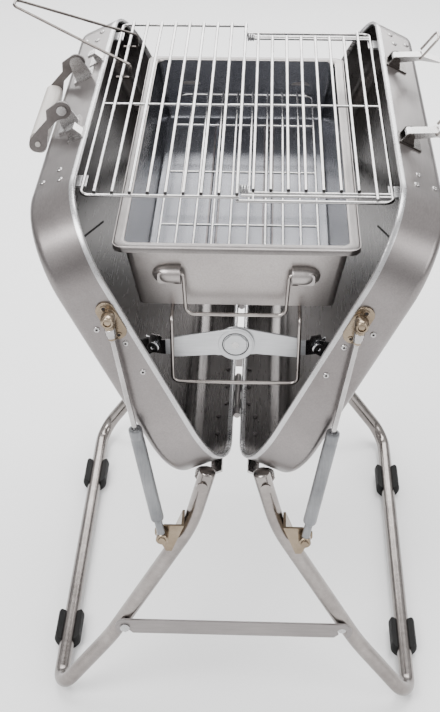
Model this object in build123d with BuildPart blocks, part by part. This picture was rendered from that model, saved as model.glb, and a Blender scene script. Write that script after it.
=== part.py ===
from build123d import *
from math import atan2, cos, degrees, hypot, radians, sin, sqrt
import os

# Folding camp grill: two shallow steel cases hinged into an upright V, standing on two bent
# tube legs, with a charcoal pan and a two-part sliding grate between them. Millimetres, +Z up.

os.makedirs("parts", exist_ok=True)

# ---------------------------------------------------------------- driving dimensions
CASE_WIDTH = 596.0      # along Y
CASE_HEIGHT = 374.0     # along the leaning case
CASE_DEPTH = 55.0
LOW_CORNER = 91.0
HIGH_CORNER = 84.0
OUTER_EDGE = 10.0
WALL = 1.5
HEM_WIDTH = 5.0
HEM_THICK = 3.0
LEAN = 25.5             # degrees each case leans out
HALF_GAP = 4.0
HINGE_Z = 371.5

TUBE_R = 9.5
TUBE_WALL = 1.5
FOOT_X = 222.0
FOOT_Z = 14.0
LEG_Y = 272.0
PIVOT_X, PIVOT_Z = 36.0, 360.5
PIN_R = 4.0
PIN_PLAY = 0.06

BALL_V, BALL_D = 257.0, 14.0
STRUT_Y = 309.0
STUD_X, STUD_Z = 80.0, 308.5

BAR_X, BAR_Z = 131.0, 142.5
BAR_PIN_R = 5.0

HUB_Z = 534.5
ARM_PIN_D, ARM_PIN_V = 8.0, 178.3

PAN_X, PAN_Y, PAN_TOP = 117.0, 244.0, 650.0
PAN_FLOOR_X, PAN_FLOOR_Y, PAN_FLOOR = 103.0, 234.0, 571.5
PAN_WALL = 1.2
RIM = 10.0

GRATE_X, GRATE_Y, GRATE_Z = 158.0, 235.0, 699.3
WIRE_R = 1.8

SHIFT_X = 21.85         # the lift handle reaches further left than the feet reach right

HALF_W = CASE_WIDTH / 2
HALF_Y = Plane.XZ
SIDES = ((-1, "left"), (1, "right"))
CS, SN = cos(radians(LEAN)), sin(radians(LEAN))


# ---------------------------------------------------------------- helpers
def case_point(side, u, v, d):
    """A point u along Y, v up the case and d outward from the open lip."""
    x = side * (HALF_GAP + v * SN + d * CS)
    return Vector(x, u, HINGE_Z + v * CS - d * SN)


def lip_plane(side, depth=0.0):
    """Parallel to the open lip; x along Y, y up the case, facing outward."""
    return Plane(origin=case_point(side, 0, 0, depth), x_dir=(0, side, 0),
                 z_dir=(side * CS, 0, -SN))


def cross_plane(side, y):
    """Across the case at y; local x is depth, local y is height up the case."""
    return Plane(origin=case_point(side, y, 0, 0), x_dir=(side * CS, 0, -SN), z_dir=(0, -side, 0))


def front_plane(y):
    """World X and Z, facing the front."""
    return Plane(origin=(0, y, 0), x_dir=(1, 0, 0), z_dir=(0, -1, 0))


def case_slab(side, y0, y1, sketch, mode=Mode.ADD):
    extrude(sketch.sketch, amount=-side * (y1 - y0), mode=mode)


def disc_y(x, z, radius, y0, y1, mode=Mode.ADD):
    """Cylinder along Y between y0 and y1."""
    with BuildSketch(front_plane(y0)) as face:
        with Locations((x, z)):
            Circle(radius)
    extrude(face.sketch, amount=y0 - y1, mode=mode)


def case_disc(side, v, d, radius, y0, y1, mode=Mode.ADD):
    spot = case_point(side, 0, v, d)
    disc_y(spot.X, spot.Z, radius, y0, y1, mode)


def block(x0, x1, y0, y1, z0, z1, mode=Mode.ADD):
    with Locations(((x0 + x1) / 2, (y0 + y1) / 2, (z0 + z1) / 2)):
        Box(abs(x1 - x0), abs(y1 - y0), abs(z1 - z0), mode=mode)


def case_block(side, u0, u1, v0, v1, d0, d1, mode=Mode.ADD):
    """Box in the case's own directions."""
    with BuildSketch(lip_plane(side, d0)) as face:
        with Locations((side * (u0 + u1) / 2, (v0 + v1) / 2)):
            Rectangle(abs(u1 - u0), abs(v1 - v0))
    extrude(face.sketch, amount=d1 - d0, mode=mode)


def wire(points, bends, radius, mode=Mode.ADD):
    """Round rod along a filleted polyline."""
    with BuildLine() as path:
        FilletPolyline(*points, radius=bends)
    start = Plane(origin=path.line @ 0, z_dir=path.line % 0)
    with BuildSketch(start) as ring:
        Circle(radius)
    sweep(sections=ring.sketch, path=path.line, mode=mode)


def rod(start, end, radius, mode=Mode.ADD):
    a, b = Vector(*start), Vector(*end)
    with BuildSketch(Plane(origin=a, z_dir=b - a)) as ring:
        Circle(radius)
    extrude(ring.sketch, amount=(b - a).length, mode=mode)


def rivet(plane, radius=3.4, height=1.5):
    with BuildSketch(plane) as ring:
        Circle(radius)
    extrude(ring.sketch, amount=height, taper=30)


def save(builder, name):
    """Write one piece, shifted so that the whole grill stands centred over the origin."""
    builder.part.locate(Location((SHIFT_X, 0, 0)))
    builder.part.label = name
    export_step(builder.part, "parts/" + name + ".step")


def depth_of(point, side):
    return (point.X - side * HALF_GAP) * side * CS - (point.Z - HINGE_Z) * SN


def leg_path(side):
    """Front leg top, down the bend, along the floor and up the rear leg."""
    x = side
    down = [(30, 374.5), (50, 296.5), (150, 114.5), (FOOT_X, FOOT_Z)]
    front = [(x * p, -LEG_Y, q) for p, q in down]
    rear = [(x * p, LEG_Y, q) for p, q in reversed(down)]
    return front + rear


LEG_BENDS = (200, 300, 32, 32, 300, 200)


# ---------------------------------------------------------------- cases
for side, hand in SIDES:
    with BuildPart() as case:
        with BuildSketch(lip_plane(side)) as outline:
            with Locations((0, CASE_HEIGHT / 2)):
                Rectangle(CASE_WIDTH, CASE_HEIGHT)
            fillet(outline.vertices().group_by(Axis.Y)[0], LOW_CORNER)
            fillet([p for p in outline.vertices() if p.Y > CASE_HEIGHT - 1], HIGH_CORNER)
        extrude(outline.sketch, amount=CASE_DEPTH)
        rounded = [e for e in case.edges() if abs(depth_of(e.center(), side) - CASE_DEPTH) < 0.1]
        fillet(rounded, OUTER_EDGE)
        mouth = [f for f in case.faces() if abs(depth_of(f.center(), side)) < 0.1]
        offset(amount=-WALL, openings=mouth)
        with BuildSketch(lip_plane(side)) as hem:
            add(outline.sketch_local)
            offset(amount=-HEM_THICK, mode=Mode.SUBTRACT)
        extrude(hem.sketch, amount=HEM_WIDTH)
    save(case, hand + "_shell")

# ---------------------------------------------------------------- hinges
HINGE_Y = (-162.0, -79.0)
KNUCKLE_R = 3.5
KNUCKLES = 5
KNUCKLE = (HINGE_Y[1] - HINGE_Y[0]) / KNUCKLES

with BuildPart() as hinge_pins:
    disc_y(0, HINGE_Z, 1.5, HINGE_Y[0], HINGE_Y[1])
    disc_y(0, HINGE_Z, 1.5, -HINGE_Y[1], -HINGE_Y[0])
save(hinge_pins, "hinge_pins")

for side, hand in SIDES:
    with BuildPart() as leaf:
        case_block(side, HINGE_Y[0], HINGE_Y[1], -1.6, 0, 0.3, 28)
        for n in range(KNUCKLES):
            if (n % 2 == 0) == (side < 0):
                a = HINGE_Y[0] + n * KNUCKLE + 0.2
                b = HINGE_Y[0] + (n + 1) * KNUCKLE - 0.2
                disc_y(0, HINGE_Z, KNUCKLE_R, a, b)
                case_block(side, a, b, -1.6, -0.05, -2, 0.4)
        disc_y(0, HINGE_Z, 1.56, HINGE_Y[0] - 1, HINGE_Y[1] + 1, Mode.SUBTRACT)
        mirror(about=HALF_Y)
    save(leaf, "hinge_leaves_" + hand)

# ---------------------------------------------------------------- rivets on the cases
for side, hand in SIDES:
    with BuildPart() as rivets:
        for u, d in ((63, 9), (100, 9), (135, 9), (155, 19), (189, 19)):
            for s in (-1, 1):
                rivet(Plane(origin=case_point(side, s * u, WALL, d), z_dir=(side * SN, 0, CS)), 3, 1.3)
        for u, d in ((180, 23), (205, 19), (195, 41)):
            for s in (-1, 1):
                rivet(Plane(origin=case_point(side, s * u, CASE_HEIGHT, d), z_dir=(side * SN, 0, CS)))
        for v, d in ((246, 34), (219, 15), (180, 15)):
            for s in (-1, 1):
                rivet(Plane(origin=case_point(side, s * HALF_W, v, d), z_dir=(0, s, 0)), 3.2, 1.5)
    save(rivets, "rivets_" + hand)

# ---------------------------------------------------------------- leg pivots
EAR_Y = (-258.5, -255.5)
for side, hand in SIDES:
    pivot = Vector(side * PIVOT_X, 0, PIVOT_Z)
    with BuildPart() as bracket:
        case_block(side, EAR_Y[0], -166, -2.5, 0, 12, 26)
        disc_y(pivot.X, pivot.Z, 9, EAR_Y[0], EAR_Y[1])
        case_block(side, EAR_Y[0], EAR_Y[1], -2.5, 4, 20, 44)
        disc_y(pivot.X, pivot.Z, PIN_R, EAR_Y[0] - 1, EAR_Y[1] + 1, Mode.SUBTRACT)
        mirror(about=HALF_Y)
    save(bracket, "leg_brackets_" + hand)

    with BuildPart() as pivot_pin:
        disc_y(pivot.X, pivot.Z, PIN_R, -282, -253)
        disc_y(pivot.X, pivot.Z, 6.5, -284, -281.9)
        disc_y(pivot.X, pivot.Z, 7.0, -262.2, EAR_Y[0])
        disc_y(pivot.X, pivot.Z, 6.5, EAR_Y[1], -252.8)
        mirror(about=HALF_Y)
    save(pivot_pin, "leg_pins_" + hand)

# ---------------------------------------------------------------- bent tube legs
for side, hand in SIDES:
    with BuildPart() as leg:
        wire(leg_path(side), LEG_BENDS, TUBE_R)
        wire(leg_path(side), LEG_BENDS, TUBE_R - TUBE_WALL, mode=Mode.SUBTRACT)
        for s in (-1, 1):
            disc_y(side * PIVOT_X, PIVOT_Z, PIN_R + PIN_PLAY, s * LEG_Y - 12, s * LEG_Y + 12, Mode.SUBTRACT)
            disc_y(side * BAR_X, BAR_Z, BAR_PIN_R, s * (LEG_Y + 12), s * LEG_Y, Mode.SUBTRACT)
    save(leg, "leg_frame_" + hand)

PAD_R, PAD_LENGTH, PAD_Y = 15.0, 52.0, 163.0
for side, hand in SIDES:
    with BuildPart() as pads:
        disc_y(side * FOOT_X, FOOT_Z, PAD_R, -PAD_Y - PAD_LENGTH / 2, -PAD_Y + PAD_LENGTH / 2)
        fillet(pads.edges().filter_by(GeomType.CIRCLE), 4)
        disc_y(side * FOOT_X, FOOT_Z, TUBE_R, -PAD_Y - 40, -PAD_Y + 40, Mode.SUBTRACT)
        block(side * FOOT_X - 20, side * FOOT_X + 20, -PAD_Y - 40, -PAD_Y + 40, -9, 0, Mode.SUBTRACT)
        block(side * FOOT_X - 4.5, side * FOOT_X + 4.5, -PAD_Y - 40, -PAD_Y + 40, FOOT_Z, 40, Mode.SUBTRACT)
        mirror(about=HALF_Y)
    save(pads, "foot_pads_" + hand)

# ---------------------------------------------------------------- ball plates and gas struts
for side, hand in SIDES:
    with BuildPart() as plates:
        with BuildSketch(cross_plane(side, -HALF_W)) as oval:
            with Locations((BALL_D + 1, BALL_V - 7)):
                SlotOverall(46, 20, rotation=90)
        case_slab(side, -HALF_W, -HALF_W - 2.5, oval)
        case_disc(side, BALL_V, BALL_D, 6.5, -HALF_W - 2.4, -302.6)
        case_disc(side, BALL_V, BALL_D, PIN_R, -302.6, -315)
        mirror(about=HALF_Y)
    save(plates, "ball_plates_" + hand)

SOCKET, ROD_OUT, CYL_LENGTH, ROD_IN = 24.0, 113.0, 129.0, 15.0
ball = case_point(1, 0, BALL_V, BALL_D)
STRUT_LENGTH = hypot(ball.X - STUD_X, ball.Z - STUD_Z)
for side, hand in SIDES:
    for end, place in ((-1, "front"), (1, "rear")):
        y = end * STRUT_Y
        top = Vector(side * ball.X, y, ball.Z)
        line = Plane(origin=top, z_dir=Vector(side * STUD_X, y, STUD_Z) - top, x_dir=(0, 1, 0))
        with BuildPart() as strut_rod:
            with BuildSketch(line.offset(5)) as neck:
                Circle(5)
            extrude(neck.sketch, amount=SOCKET - 5)
            with BuildSketch(line.offset(SOCKET - 1)) as shaft:
                Circle(3)
            extrude(shaft.sketch, amount=ROD_OUT + ROD_IN + 1)
            disc_y(top.X, top.Z, 7.5, end * 303, end * 316)
            disc_y(top.X, top.Z, PIN_R + PIN_PLAY, end * 300, end * 320, Mode.SUBTRACT)
        save(strut_rod, "strut_rod_" + place + "_" + hand)

        with BuildPart() as cylinder:
            with BuildSketch(line.offset(SOCKET + ROD_OUT)) as barrel:
                Circle(7.5)
            extrude(barrel.sketch, amount=CYL_LENGTH)
            fillet(cylinder.edges().filter_by(GeomType.CIRCLE), 1.5)
            with BuildSketch(line.offset(SOCKET + ROD_OUT + CYL_LENGTH - 1)) as tail:
                Circle(4.5)
            extrude(tail.sketch, amount=STRUT_LENGTH - SOCKET - ROD_OUT - CYL_LENGTH - 4)
            disc_y(side * STUD_X, STUD_Z, 7, end * 301.8, end * 314)
            disc_y(side * STUD_X, STUD_Z, 3.5, end * 313.5, end * 316)
            with BuildSketch(line.offset(SOCKET + ROD_OUT - 1)) as bore:
                Circle(3.06)
            extrude(bore.sketch, amount=116, mode=Mode.SUBTRACT)
        save(cylinder, "strut_cylinder_" + place + "_" + hand)

for side, hand in SIDES:
    with BuildPart() as gussets:
        with BuildSketch(front_plane(-297)) as gusset:
            with BuildLine():
                Polyline((side * 89, 312), (side * 78, 318), (side * 56, 318), (side * 72, 280),
                         (side * 77, 280), (side * 89, 305), close=True)
            make_face()
            fillet(gusset.vertices(), 1.5)
        extrude(gusset.sketch, amount=3)
        with BuildSketch(front_plane(-272)) as web:
            with BuildLine():
                Polyline((side * 59, 318), (side * 56, 318), (side * 70.5, 280), (side * 73.5, 280),
                         close=True)
            make_face()
        extrude(web.sketch, amount=28)
        disc_y(side * STUD_X, STUD_Z, 4, -300, -301.4)
        wire(leg_path(side)[:4], LEG_BENDS[:2], TUBE_R, mode=Mode.SUBTRACT)
        mirror(about=HALF_Y)
    save(gussets, "strut_brackets_" + hand)

# ---------------------------------------------------------------- crossbars between the legs
BAR_FACE, BAR_THICK = 284.0, 3.0
for end, place in ((-1, "front"), (1, "rear")):
    with BuildPart() as crossbar:
        with BuildSketch(front_plane(end * BAR_FACE)) as bar:
            with Locations((0, BAR_Z + 1.5)):
                Rectangle(2 * BAR_X, 21)
            with Locations((-BAR_X, BAR_Z), (BAR_X, BAR_Z)):
                Circle(12)
            for s, r in ((-1, BAR_PIN_R + PIN_PLAY), (1, BAR_PIN_R + 0.5)):
                with Locations((s * BAR_X, BAR_Z)):
                    Circle(r, mode=Mode.SUBTRACT)
                with BuildLine() as mouth_line:
                    Polyline((s * (BAR_X + r), BAR_Z), (s * (BAR_X - r), BAR_Z),
                             (s * (BAR_X - 4.2), BAR_Z - 4), (s * (BAR_X - 15), BAR_Z - 14),
                             (s * (BAR_X + r), BAR_Z - 14), close=True)
                make_face(mode=Mode.SUBTRACT)
        extrude(bar.sketch, amount=-end * BAR_THICK)
    save(crossbar, "crossbar_" + place)

for side, hand in SIDES:
    with BuildPart() as bar_pins:
        reach = 283.6 if side > 0 else 289.2
        disc_y(side * BAR_X, BAR_Z, BAR_PIN_R, -LEG_Y, -reach)
        if side < 0:
            disc_y(side * BAR_X, BAR_Z, BAR_PIN_R + 0.8, -287.5, -289.2)
        mirror(about=HALF_Y)
    save(bar_pins, "crossbar_pins_" + hand)

# ---------------------------------------------------------------- folding spreaders
arm_pin = case_point(1, 0, ARM_PIN_V, ARM_PIN_D)
ARM_LAYER = {"left": (254.0, 251.5), "right": (251.1, 248.7)}
for end, place in ((-1, "front"), (1, "rear")):
    for side, hand in SIDES:
        y0, y1 = (end * q for q in ARM_LAYER[hand])
        with BuildPart() as arm:
            with BuildSketch(front_plane(y0)) as blade:
                with Locations((0, HUB_Z)):
                    Circle(20)
                with BuildLine():
                    Polyline((0, HUB_Z + 20), (side * 65, 542), (side * 66, 538), (side * arm_pin.X, 538),
                             (side * arm_pin.X, 520), (side * 66, 520), (side * 65, 517), (side * 19, 521),
                             (0, HUB_Z - 15), close=True)
                make_face()
                with Locations((side * arm_pin.X, arm_pin.Z)):
                    Circle(9)
                    Circle(PIN_R + PIN_PLAY, mode=Mode.SUBTRACT)
            extrude(blade.sketch, amount=y0 - y1)
        save(arm, "spreader_arm_" + place + "_" + hand)

for end, place in ((-1, "front"), (1, "rear")):
    with BuildPart() as hub:
        disc_y(0, HUB_Z, 13, end * 254, end * 256)
    save(hub, "spreader_hub_" + place)

for side, hand in SIDES:
    front_end = 255.4 if side < 0 else 252.5
    with BuildPart() as holders:
        with BuildSketch(cross_plane(side, -245.9)) as plate:
            with Locations((ARM_PIN_D, ARM_PIN_V)):
                Circle(9)
            with BuildLine():
                Polyline((ARM_PIN_D, ARM_PIN_V + 9), (30, 190), (53.5, 206), (53.5, 160),
                         (30, 168), (ARM_PIN_D, ARM_PIN_V - 9), close=True)
            make_face()
        case_slab(side, -245.9, -248.4, plate)
        case_block(side, -248.4, -222, 160, 206, 51.5, CASE_DEPTH - WALL)
        case_disc(side, ARM_PIN_V, ARM_PIN_D, PIN_R, -246, -front_end)
        case_disc(side, ARM_PIN_V, ARM_PIN_D, 6.5, -front_end + 1.1, -front_end)
        if side < 0:
            case_disc(side, ARM_PIN_V, ARM_PIN_D, 6.5, -248.4, -251.2)
        mirror(about=HALF_Y)
    save(holders, "spreader_brackets_" + hand)

# ---------------------------------------------------------------- charcoal pan
POCKET_X = (59.0, 85.0)
POCKET_Z = 612.0
with BuildPart() as pan:
    with BuildSketch(Plane.XY.offset(PAN_FLOOR)) as floor:
        RectangleRounded(2 * PAN_FLOOR_X, 2 * PAN_FLOOR_Y, 8)
    with BuildSketch(Plane.XY.offset(PAN_TOP)) as mouth_edge:
        RectangleRounded(2 * PAN_X, 2 * PAN_Y, 8)
    loft([floor.sketch, mouth_edge.sketch])
    offset(amount=-PAN_WALL, openings=pan.faces().sort_by(Axis.Z)[-1])
    with BuildSketch(Plane.XY.offset(PAN_TOP)) as flange:
        RectangleRounded(2 * (PAN_X + RIM), 2 * (PAN_Y + RIM - 0.5), 12)
        RectangleRounded(2 * PAN_X - 2, 2 * PAN_Y - 2, 8, mode=Mode.SUBTRACT)
    extrude(flange.sketch, amount=-PAN_WALL)
    with BuildSketch(Plane.XY.offset(PAN_TOP)) as turn:
        RectangleRounded(2 * (PAN_X + RIM), 2 * (PAN_Y + RIM - 0.5), 12)
        offset(amount=-PAN_WALL, mode=Mode.SUBTRACT)
    extrude(turn.sketch, amount=-6)
    for sx in (-1, 1):
        for sy in (-1, 1):
            xa, xb = sx * POCKET_X[0], sx * POCKET_X[1]
            with BuildSketch(Plane(origin=((xa + xb) / 2, sy * 238.4, POCKET_Z), x_dir=(1, 0, 0),
                                   z_dir=(0, sy, 0))) as pocket:
                RectangleRounded(POCKET_X[1] - POCKET_X[0], 20, 7)
            extrude(pocket.sketch, amount=11, taper=18)
            rod((sx * (POCKET_X[0] - 4), sy * 245, 615), (sx * 70, sy * 245, 615), 2.06, Mode.SUBTRACT)
save(pan, "charcoal_pan")

for end, place in ((-1, "front"), (1, "rear")):
    with BuildPart() as bail:
        half = [(-67, 245, 615), (-55, 245, 615), (-52, 250.5, 569.5)]
        points = [(x, end * y, z) for x, y, z in half]
        points += [(-x, y, z) for x, y, z in reversed(points)]
        wire(points, (4, 9, 9, 4), 2.0)
    save(bail, "pan_bail_" + place)

    with BuildPart() as cradle:
        half = [(-67, 190, PAN_FLOOR - 2), (-67, 259.8, PAN_FLOOR - 2), (-67, 259.8, 489.5)]
        points = [(x, end * y, z) for x, y, z in half]
        points += [(-x, y, z) for x, y, z in reversed(points)]
        wire(points, (7, 8, 8, 7), 2.0)
    save(cradle, "pan_cradle_" + place)

with BuildPart() as grid:
    GRID_Z, GRID_R, PITCH = 604.5, 1.6, 19.5
    frame_half = 4.5 * PITCH
    for s in (-1, 1):
        corners = [(0, -235), (s * frame_half, -235), (s * frame_half, 235), (0, 235)]
        wire([(x, y, GRID_Z) for x, y in corners], (14, 14), GRID_R)
    for n in range(8):
        x = (n - 3.5) * PITCH
        rod((x, -236, GRID_Z + 2.9), (x, 236, GRID_Z + 2.9), GRID_R)
    for y in (-121, 9, 140):
        rod((-frame_half, y, GRID_Z), (frame_half, y, GRID_Z), GRID_R - 0.2)
    for x in (-frame_half, frame_half):
        for y in (-170, 170):
            rod((x, y, PAN_FLOOR + PAN_WALL), (x, y, GRID_Z), GRID_R - 0.2)
save(grid, "charcoal_grid")

# ---------------------------------------------------------------- two-part grate
LEFT_Y_Z = GRATE_Z + 3.3
RIGHT_Y_Z = GRATE_Z - 4.1
RIGHT_X_Z = GRATE_Z - 7.4
with BuildPart() as grate_left:
    outline_left = [(2, -GRATE_Y), (-GRATE_X, -GRATE_Y), (-GRATE_X, GRATE_Y), (2, GRATE_Y)]
    wire([(x, y, GRATE_Z) for x, y in outline_left], (9, 9), WIRE_R)
    for n in range(8):
        x = -144 + n * 18
        rod((x, -GRATE_Y, LEFT_Y_Z), (x, GRATE_Y, LEFT_Y_Z), WIRE_R)
    rod((0, -GRATE_Y, LEFT_Y_Z), (0, GRATE_Y, LEFT_Y_Z), WIRE_R)
    rod((-GRATE_X, -12, GRATE_Z), (1, -12, GRATE_Z), WIRE_R - 0.2)
save(grate_left, "grate_left_half")

with BuildPart() as grate_right:
    outline_right = [(-1, -229), (GRATE_X, -229), (GRATE_X, 229), (-1, 229)]
    wire([(x, y, RIGHT_X_Z) for x, y in outline_right], (9, 9), WIRE_R)
    rod((142, -229, RIGHT_Y_Z), (142, 229, RIGHT_Y_Z), WIRE_R)
    for n in range(7):
        x = 16 + n * 18
        rod((x, -211, RIGHT_Y_Z), (x, 211, RIGHT_Y_Z), WIRE_R)
    for y in (-211, -217.5, 6, 217.5, 211):
        rod((-14 if y == 6 else 4, y, RIGHT_X_Z), (GRATE_X, y, RIGHT_X_Z), WIRE_R - 0.2)
    for s in (-1, 1):
        rod((16, s * 211, RIGHT_X_Z), (16, s * 229, RIGHT_X_Z), WIRE_R - 0.4)
save(grate_right, "grate_right_half")

LIFT_Z = 710.0
with BuildPart() as lift_handle:
    hook = [(-152, 694.5), (-134.5, 694.5), (-134.5, LIFT_Z)]
    back = [(x, 172, z) for x, z in hook]
    front = [(x, 76, z) for x, z in hook]
    loop = back + [(-279, 154, 760), (-279, 134, 760)] + list(reversed(front))
    wire(loop, (3, 5, 7, 7, 5, 3), 1.7)
save(lift_handle, "grate_lift_handle")

LEDGE_TOP = {"left": GRATE_Z - WIRE_R, "right": RIGHT_X_Z - WIRE_R}
for side, hand in SIDES:
    top = LEDGE_TOP[hand]
    with BuildPart() as ledges:
        for y in (-200, 201):
            with BuildSketch(front_plane(y + 12)) as shelf:
                v_top = (top - HINGE_Z + 11 * SN) / CS
                outer = case_point(side, 0, v_top, 11)
                with BuildLine():
                    Polyline((side * 154.8, top), (outer.X, top), (outer.X, top - 2), (side * 154.8, top - 2),
                             close=True)
                make_face()
            extrude(shelf.sketch, amount=24)
            case_block(side, y - 12, y + 12, v_top - 3.2, CASE_HEIGHT - WALL, 10, 12)
            case_block(side, y - 12, y + 12, CASE_HEIGHT - WALL - 2, CASE_HEIGHT - WALL, 11, 30)
    save(ledges, "grate_ledges_" + hand)

# ---------------------------------------------------------------- carry handle on the left case
LUG_V, LUG_D = CASE_HEIGHT + 20, 26.0
GRIP_V, GRIP_D = CASE_HEIGHT - 4, 70.0
with BuildPart() as handle_bases:
    case_block(-1, -84, -54, CASE_HEIGHT, CASE_HEIGHT + 2.5, 14, 38)
    with BuildSketch(cross_plane(-1, -66)) as ear:
        with Locations((LUG_D, LUG_V)):
            Circle(8)
        with BuildLine():
            Polyline((15, CASE_HEIGHT), (37, CASE_HEIGHT), (LUG_D + 8, LUG_V), (LUG_D - 8, LUG_V), close=True)
        make_face()
    case_slab(-1, -66, -63.5, ear)
    case_disc(-1, LUG_V, LUG_D, 3, -64, -70)
    case_disc(-1, LUG_V, LUG_D, 5.5, -69.8, -71.4)
    mirror(about=HALF_Y)
save(handle_bases, "handle_bases")

with BuildPart() as handle_arms:
    with BuildSketch(cross_plane(-1, -66.4)) as link:
        with Locations((LUG_D, LUG_V)):
            Circle(10)
        with Locations((GRIP_D, GRIP_V)):
            Circle(10)
        with BuildLine():
            Polyline((LUG_D, LUG_V + 10), (LUG_D + 16, LUG_V + 7), (LUG_D + 21, LUG_V - 3),
                     (GRIP_D - 2, GRIP_V + 12), (GRIP_D + 7, GRIP_V + 7), (GRIP_D - 8, GRIP_V - 6),
                     (GRIP_D - 19, GRIP_V + 10), (LUG_D + 10, LUG_V - 8), (LUG_D, LUG_V - 10), close=True)
        make_face()
        with Locations((LUG_D, LUG_V)):
            Circle(3.06, mode=Mode.SUBTRACT)
        with Locations((GRIP_D, GRIP_V)):
            Circle(3, mode=Mode.SUBTRACT)
    case_slab(-1, -66.4, -69.4, link)
    mirror(about=HALF_Y)
save(handle_arms, "handle_arms")

with BuildPart() as grip:
    with BuildSketch(cross_plane(-1, -66.4)) as section:
        with Locations((GRIP_D, GRIP_V)):
            RectangleRounded(20, 24, 8, rotation=35)
    case_slab(-1, -66.4, 66.4, section)
    case_disc(-1, GRIP_V, GRIP_D, 3, -66.4, -70.8)
    case_disc(-1, GRIP_V, GRIP_D, 3, 66.4, 70.8)
save(grip, "handle_grip")

# ---------------------------------------------------------------- latches on the right case
LATCH_U = 106.0
LATCH_V, LATCH_D = CASE_HEIGHT + 9, 14.0
HOOK_V, HOOK_D = CASE_HEIGHT + 24, 38.0
with BuildPart() as latch_bases:
    case_block(1, -LATCH_U - 13, -LATCH_U + 13, CASE_HEIGHT, CASE_HEIGHT + 2, 5, 32)
    for y in (-LATCH_U - 11, -LATCH_U + 9):
        with BuildSketch(cross_plane(1, y)) as cheek:
            with Locations((LATCH_D, LATCH_V)):
                Circle(5)
            with BuildLine():
                Polyline((7, CASE_HEIGHT), (24, CASE_HEIGHT), (LATCH_D + 5, LATCH_V), (LATCH_D - 5, LATCH_V),
                         close=True)
            make_face()
        case_slab(1, y, y + 2, cheek)
    case_disc(1, LATCH_V, LATCH_D, 2, -LATCH_U - 12, -LATCH_U + 12)
    mirror(about=HALF_Y)
save(latch_bases, "latch_bases")

for end, place in ((-1, "front"), (1, "rear")):
    c = end * LATCH_U
    with BuildPart() as lever:
        with BuildSketch(cross_plane(1, c + 8)) as strap:
            with BuildLine():
                Polyline((LATCH_D, LATCH_V + 4.5), (HOOK_D + 2, HOOK_V + 3), (62, CASE_HEIGHT + 30),
                         (62, CASE_HEIGHT + 28), (HOOK_D + 2, HOOK_V - 3), (LATCH_D, LATCH_V - 4.5), close=True)
            make_face()
            with Locations((LATCH_D, LATCH_V)):
                Circle(4.5)
                Circle(2.06, mode=Mode.SUBTRACT)
            with Locations((HOOK_D, HOOK_V)):
                Circle(1.56, mode=Mode.SUBTRACT)
        case_slab(1, c + 8, c - 8, strap)
    save(lever, "latch_lever_" + place)

    with BuildPart() as hook_wire:
        low_a = case_point(1, c - 11, HOOK_V, HOOK_D)
        low_b = case_point(1, c + 11, HOOK_V, HOOK_D)
        top_a = case_point(1, c - 11, CASE_HEIGHT + 56, 45)
        top_b = case_point(1, c + 11, CASE_HEIGHT + 56, 45)
        wire([low_b, low_a, top_a, top_b, low_b + (top_b - low_b) * 0.12], (2.5, 5, 5), 1.5)
    save(hook_wire, "latch_hook_" + place)

with BuildPart() as strikes:
    case_block(-1, -LATCH_U - 14, -LATCH_U + 14, CASE_HEIGHT, CASE_HEIGHT + 2, 3, 22)
    with BuildSketch(cross_plane(-1, -LATCH_U + 8)) as claw:
        with BuildLine():
            Polyline((4, CASE_HEIGHT), (14, CASE_HEIGHT), (14, CASE_HEIGHT + 9), (20, CASE_HEIGHT + 9),
                     (20, CASE_HEIGHT + 12), (10, CASE_HEIGHT + 12), close=True)
        make_face()
    case_slab(-1, -LATCH_U + 8, -LATCH_U - 8, claw)
    mirror(about=HALF_Y)
save(strikes, "latch_strikes")
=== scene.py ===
import bpy, bmesh
from math import sin, cos, pi, radians, sqrt, atan2
from mathutils import Vector, Matrix


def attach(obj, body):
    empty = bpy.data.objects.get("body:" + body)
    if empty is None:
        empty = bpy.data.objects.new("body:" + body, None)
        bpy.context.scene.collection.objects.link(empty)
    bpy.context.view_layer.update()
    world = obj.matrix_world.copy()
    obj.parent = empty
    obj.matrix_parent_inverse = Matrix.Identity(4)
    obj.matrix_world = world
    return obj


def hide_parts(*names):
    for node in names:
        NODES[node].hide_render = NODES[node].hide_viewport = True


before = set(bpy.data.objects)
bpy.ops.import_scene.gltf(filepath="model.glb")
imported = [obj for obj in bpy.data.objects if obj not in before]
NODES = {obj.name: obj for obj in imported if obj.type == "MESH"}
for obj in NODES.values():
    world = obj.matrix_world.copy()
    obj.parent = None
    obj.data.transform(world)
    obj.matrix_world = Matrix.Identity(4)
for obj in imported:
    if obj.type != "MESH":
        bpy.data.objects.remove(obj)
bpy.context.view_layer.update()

# ------------------------------------------------------------ dimensions, in mm like the CAD
MM = 0.001
SHIFT = 21.85
LEAN = radians(25.5)
CS, SN = cos(LEAN), sin(LEAN)
HALF_GAP, HINGE_Z = 4.0, 371.5
CASE_W, CASE_H, CASE_T = 596.0, 374.0, 55.0
LOW_R, HIGH_R = 91.0, 84.0
SIDES = ((-1, "left"), (1, "right"))
ENDS = ((-1, "front"), (1, "rear"))


def at(x, y, z):
    return Vector(((x + SHIFT) * MM, y * MM, z * MM))


def case(side, u, v, d):
    return at(side * (HALF_GAP + v * SN + d * CS), u, HINGE_Z + v * CS - d * SN)


# ------------------------------------------------------------ material helpers
def mat_new(name):
    m = bpy.data.materials.new(name)
    m.use_nodes = True
    nt = m.node_tree
    for n in list(nt.nodes):
        nt.nodes.remove(n)
    out = nt.nodes.new("ShaderNodeOutputMaterial")
    b = nt.nodes.new("ShaderNodeBsdfPrincipled")
    nt.links.new(b.outputs["BSDF"], out.inputs["Surface"])
    return m, nt, b


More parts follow.
